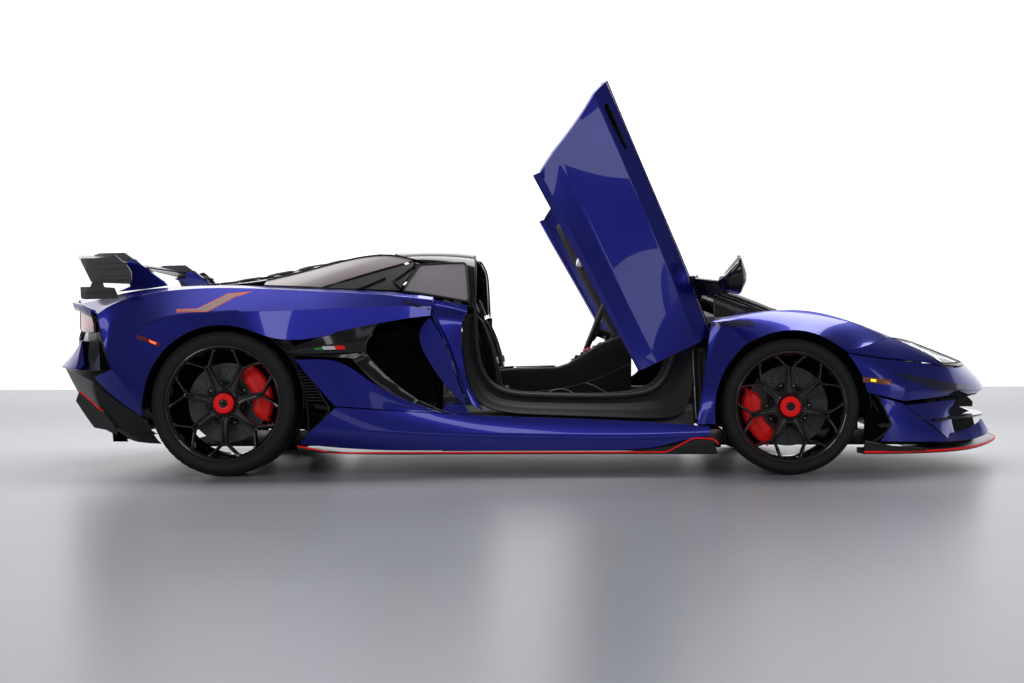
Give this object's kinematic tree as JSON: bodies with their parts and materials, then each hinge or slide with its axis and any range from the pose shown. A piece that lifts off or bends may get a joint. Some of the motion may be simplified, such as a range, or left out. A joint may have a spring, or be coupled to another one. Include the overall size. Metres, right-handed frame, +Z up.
{
  "type": "supercar",
  "caption": "Open two-seat mid-engined supercar with raised scissor doors, rear wing, steerable front wheels, front lid and engine cover.",
  "frame": {"origin": "on the ground under the middle of the bounding box taken with the doors raised", "axes": "+X forward to the nose, +Y to the left, +Z up"},
  "size_m": [4.9314, 2.6404, 1.8469],
  "materials": {
    "paint_blue": "metallic gloss",
    "gloss_black": "gloss",
    "carbon_dark": "satin",
    "tyre": "matte",
    "rim_black": "gloss",
    "brake_disc": "machined",
    "caliper_red": "gloss",
    "suspension_metal": "satin",
    "glass": "clear",
    "lamp_clear": "clear",
    "lamp_red": "gloss",
    "exhaust_metal": "dark",
    "engine_cast": "cast",
    "seat_leather": "satin",
    "cabin_dark": "satin"
  },
  "bodies": {
    "body": {"air_intakes": "gloss_black", "bulkheads": "carbon_dark", "buttresses": "gloss_black", "calipers_rear": "caliper_red", "centre_console": "cabin_dark", "dashboard": "cabin_dark", "diffuser": "gloss_black", "doorway_frames": "carbon_dark", "engine": "engine_cast", "exhaust": "exhaust_metal", "floor_panels": "carbon_dark", "front_bumper": "paint_blue", "front_fender_left": "paint_blue", "front_fender_right": "paint_blue", "front_splitter": "gloss_black", "headlights": "lamp_clear", "luggage_tub": "carbon_dark", "rear_bumper": "paint_blue", "rear_hoop": "gloss_black", "rear_quarter_left": "paint_blue", "rear_quarter_right": "paint_blue", "rear_wing": "gloss_black", "seat_left": "seat_leather", "seat_right": "seat_leather", "side_sill_left": "paint_blue", "side_sill_right": "paint_blue", "side_skirts": "gloss_black", "sill_beams": "carbon_dark", "tail_deck": "paint_blue", "taillights": "lamp_red", "tow_eye_socket": "suspension_metal", "uprights_rear": "suspension_metal", "wheel_liners": "carbon_dark", "windows": "glass", "windshield_frame": "gloss_black", "wing_mounts": "gloss_black", "wishbones": "suspension_metal"},
    "knuckle_left": {"knuckle_front_left": "suspension_metal", "caliper_front_left": "caliper_red"},
    "knuckle_right": {"knuckle_front_right": "suspension_metal", "caliper_front_right": "caliper_red"},
    "wheel_front_left": {"tyre_front_left": "tyre", "rim_front_left": "rim_black", "brake_disc_front_left": "brake_disc"},
    "wheel_front_right": {"tyre_front_right": "tyre", "rim_front_right": "rim_black", "brake_disc_front_right": "brake_disc"},
    "wheel_rear_left": {"tyre_rear_left": "tyre", "rim_rear_left": "rim_black", "brake_disc_rear_left": "brake_disc"},
    "wheel_rear_right": {"tyre_rear_right": "tyre", "rim_rear_right": "rim_black", "brake_disc_rear_right": "brake_disc"},
    "door_left": {"door_left": "paint_blue", "mirror_left": "gloss_black"},
    "door_right": {"door_right": "paint_blue", "mirror_right": "gloss_black"},
    "steering_wheel": {"steering_wheel": "cabin_dark"},
    "front_hood": {"front_hood": "paint_blue"},
    "engine_cover": {"engine_cover": "gloss_black"}
  },
  "joints": [
    {"name": "steer_left", "type": "hinge", "parent": "body", "child": "knuckle_left", "pos_m": [1.3165, 0.798, 0.324], "axis": [0, 0, 1], "range_deg": [-30, 30]},
    {"name": "steer_right", "type": "hinge", "parent": "body", "child": "knuckle_right", "pos_m": [1.3165, -0.798, 0.324], "axis": [0, 0, 1], "range_deg": [-30, 30]},
    {"name": "steering_wheel_turn", "type": "hinge", "parent": "body", "child": "steering_wheel", "pos_m": [0.4185, 0.37, 0.7], "axis": [-0.9272, 0, 0.3746], "range_deg": [-390, 390]},
    {"name": "wheel_front_left_spin", "type": "hinge", "parent": "knuckle_left", "child": "wheel_front_left", "pos_m": [1.3165, 0.86, 0.324], "axis": [0, 1, 0], "continuous": true},
    {"name": "wheel_front_right_spin", "type": "hinge", "parent": "knuckle_right", "child": "wheel_front_right", "pos_m": [1.3165, -0.86, 0.324], "axis": [0, 1, 0], "continuous": true},
    {"name": "wheel_rear_left_spin", "type": "hinge", "parent": "body", "child": "wheel_rear_left", "pos_m": [-1.3835, 0.85, 0.349], "axis": [0, 1, 0], "continuous": true},
    {"name": "wheel_rear_right_spin", "type": "hinge", "parent": "body", "child": "wheel_rear_right", "pos_m": [-1.3835, -0.85, 0.349], "axis": [0, 1, 0], "continuous": true},
    {"name": "door_right_swing", "type": "hinge", "parent": "body", "child": "door_right", "pos_m": [0.8775, -0.8, 0.7125], "axis": [-0.0769, 0.9436, 0.3221], "range_deg": [-63.3, 0]},
    {"name": "door_left_swing", "type": "hinge", "parent": "body", "child": "door_left", "pos_m": [0.8775, 0.8, 0.7125], "axis": [0.0769, 0.9436, -0.3221], "range_deg": [-63.3, 0]},
    {"name": "hood_lift", "type": "hinge", "parent": "body", "child": "front_hood", "pos_m": [1.4665, 0, 0.735], "axis": [0, -1, 0], "range_deg": [0, 50]},
    {"name": "engine_cover_lift", "type": "hinge", "parent": "body", "child": "engine_cover", "pos_m": [-0.6735, 0, 1.098], "axis": [0, 1, 0], "range_deg": [0, 45]}
  ],
  "couplings": [
    {"joint": "steer_right", "follows": "steer_left", "ratio": 1},
    {"joint": "steering_wheel_turn", "follows": "steer_left", "ratio": 13}
  ]
}
